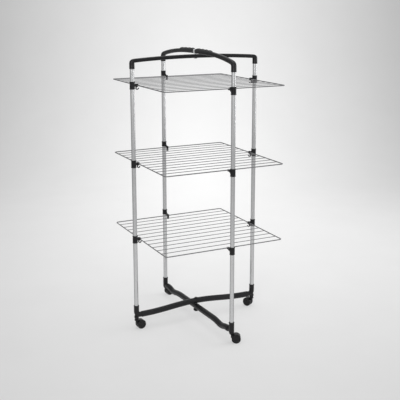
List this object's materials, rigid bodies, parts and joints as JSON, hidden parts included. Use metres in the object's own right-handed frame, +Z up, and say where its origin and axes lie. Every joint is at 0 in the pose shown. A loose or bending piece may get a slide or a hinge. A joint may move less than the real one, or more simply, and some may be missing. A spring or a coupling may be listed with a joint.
{
  "type": "clothes drying rack",
  "caption": "Rolling tower rack for drying clothes: crossed U-frames on casters hold tipping wire shelves to hang laundry on.",
  "frame": {"origin": "on the floor, below the pin where the two frames cross", "axes": "+Z up; X lies in frame A's plane and along the shelf rods; -Y is the rack's front"},
  "size_m": [0.678, 0.7473, 1.3592],
  "materials": {
    "grey_tube": "satin silver-grey coat",
    "grey_wire": "smooth grey plastic coat on steel wire",
    "black_plastic": "fine moulded texture, satin",
    "black_grip": "matt, ribbed",
    "black_tyre": "smooth hard plastic tread",
    "grey_band": "light grey, satin",
    "bright_steel": "bright zinc"
  },
  "bodies": {
    "frame_a": {"bow_a": "black_plastic", "base_bar_a": "black_plastic", "hub_pin": "bright_steel", "hub_nut": "black_plastic", "bow_pin": "bright_steel", "post_left": "grey_tube", "foot_left": "black_plastic", "stem_left": "bright_steel", "collar_left_1": "black_plastic", "collar_left_2": "black_plastic", "collar_left_3": "black_plastic", "post_right": "grey_tube", "foot_right": "black_plastic", "stem_right": "bright_steel", "collar_right_1": "black_plastic", "collar_right_2": "black_plastic", "collar_right_3": "black_plastic"},
    "frame_b": {"bow_b": "black_plastic", "bow_b_band": "grey_band", "grip_front": "black_grip", "grip_rear": "black_grip", "base_bar_b": "black_plastic", "post_front": "grey_tube", "foot_front": "black_plastic", "stem_front": "bright_steel", "hook_front_1": "black_plastic", "hook_front_2": "black_plastic", "hook_front_3": "black_plastic", "post_rear": "grey_tube", "foot_rear": "black_plastic", "stem_rear": "bright_steel", "hook_rear_1": "black_plastic", "hook_rear_2": "black_plastic", "hook_rear_3": "black_plastic"},
    "shelf_unit_1": {"shelf_1": "grey_wire", "clip_left_1": "black_plastic", "clip_right_1": "black_plastic"},
    "shelf_unit_2": {"shelf_2": "grey_wire", "clip_left_2": "black_plastic", "clip_right_2": "black_plastic"},
    "shelf_unit_3": {"shelf_3": "grey_wire", "clip_left_3": "black_plastic", "clip_right_3": "black_plastic"},
    "caster_left": {"hood_left": "black_plastic"},
    "wheels_left": {"axle_left": "bright_steel", "wheel_left_a": "black_tyre", "wheel_left_b": "black_tyre"},
    "caster_right": {"hood_right": "black_plastic"},
    "wheels_right": {"axle_right": "bright_steel", "wheel_right_a": "black_tyre", "wheel_right_b": "black_tyre"},
    "caster_front": {"hood_front": "black_plastic"},
    "wheels_front": {"axle_front": "bright_steel", "wheel_front_a": "black_tyre", "wheel_front_b": "black_tyre"},
    "caster_rear": {"hood_rear": "black_plastic"},
    "wheels_rear": {"axle_rear": "bright_steel", "wheel_rear_a": "black_tyre", "wheel_rear_b": "black_tyre"}
  },
  "joints": [
    {"name": "frame_turn", "type": "hinge", "parent": "frame_a", "child": "frame_b", "pos_m": [0, 0, 0], "axis": [0, 0, 1], "range_deg": [-17, 12]},
    {"name": "shelf_1_tip", "type": "hinge", "parent": "frame_a", "child": "shelf_unit_1", "pos_m": [0, 0, 0.46], "axis": [-1, 0, 0], "range_deg": [0, 80]},
    {"name": "shelf_2_tip", "type": "hinge", "parent": "frame_a", "child": "shelf_unit_2", "pos_m": [0, 0, 0.83], "axis": [-1, 0, 0], "range_deg": [0, 80]},
    {"name": "shelf_3_tip", "type": "hinge", "parent": "frame_a", "child": "shelf_unit_3", "pos_m": [0, 0, 1.2], "axis": [-1, 0, 0], "range_deg": [0, 15]},
    {"name": "swivel_left", "type": "hinge", "parent": "frame_a", "child": "caster_left", "pos_m": [-0.326, 0, 0.048], "axis": [0, 0, 1], "continuous": true},
    {"name": "roll_left", "type": "hinge", "parent": "caster_left", "child": "wheels_left", "pos_m": [-0.30408, 0.00192, 0.02173], "axis": [-0.0872, 0.9962, 0], "continuous": true},
    {"name": "swivel_right", "type": "hinge", "parent": "frame_a", "child": "caster_right", "pos_m": [0.326, 0, 0.048], "axis": [0, 0, 1], "continuous": true},
    {"name": "roll_right", "type": "hinge", "parent": "caster_right", "child": "wheels_right", "pos_m": [0.315, 0.01905, 0.02173], "axis": [-0.866, -0.5, 0], "continuous": true},
    {"name": "swivel_front", "type": "hinge", "parent": "frame_b", "child": "caster_front", "pos_m": [0.01518, -0.34767, 0.048], "axis": [0, 0, 1], "continuous": true},
    {"name": "roll_front", "type": "hinge", "parent": "caster_front", "child": "wheels_front", "pos_m": [0.03478, -0.35766, 0.02173], "axis": [0.454, 0.891, 0], "continuous": true},
    {"name": "swivel_rear", "type": "hinge", "parent": "frame_b", "child": "caster_rear", "pos_m": [-0.01518, 0.34767, 0.048], "axis": [0, 0, 1], "continuous": true},
    {"name": "roll_rear", "type": "hinge", "parent": "caster_rear", "child": "wheels_rear", "pos_m": [0.00674, 0.34959, 0.02173], "axis": [-0.0872, 0.9962, 0], "continuous": true}
  ]
}
